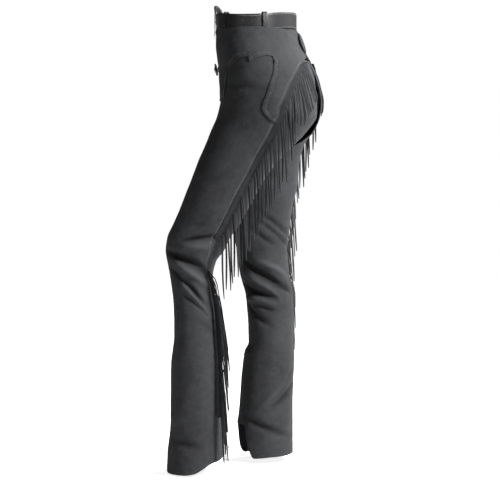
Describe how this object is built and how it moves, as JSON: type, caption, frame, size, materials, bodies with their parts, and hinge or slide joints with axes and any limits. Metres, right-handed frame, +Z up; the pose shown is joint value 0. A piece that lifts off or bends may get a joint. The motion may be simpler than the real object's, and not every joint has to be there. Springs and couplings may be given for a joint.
{
  "type": "fringed leather show chaps in worn form with their own belt",
  "caption": "Fringed leather show chaps in their hollow worn form, one knee bent, with a belt, an oval plate buckle, hip yokes and outseam fringe.",
  "frame": {"origin": "centre of the belt's ring, level with the belt's middle at the front, where the wearer's waist holds the chaps", "axes": "+Z up, +X towards the wearer's left, -Y towards the wearer's front"},
  "size_m": [0.384, 0.3516, 1.0721],
  "materials": {
    "chap_leather": "matte",
    "fringe_leather": "matte",
    "belt_leather": "satin",
    "silver": "polished"
  },
  "bodies": {
    "root": {"leg_left": "chap_leather", "leg_right": "chap_leather", "yoke_left": "chap_leather", "yoke_right": "chap_leather", "fringe_thigh_left": "fringe_leather", "fringe_thigh_right": "fringe_leather", "fringe_calf_left": "fringe_leather", "fringe_calf_right": "fringe_leather", "belt": "belt_leather", "keeper_front": "belt_leather", "keeper_side": "belt_leather", "buckle": "silver", "concho_front": "silver", "lace_knot": "fringe_leather", "rosette_back": "fringe_leather"}
  },
  "joints": []
}
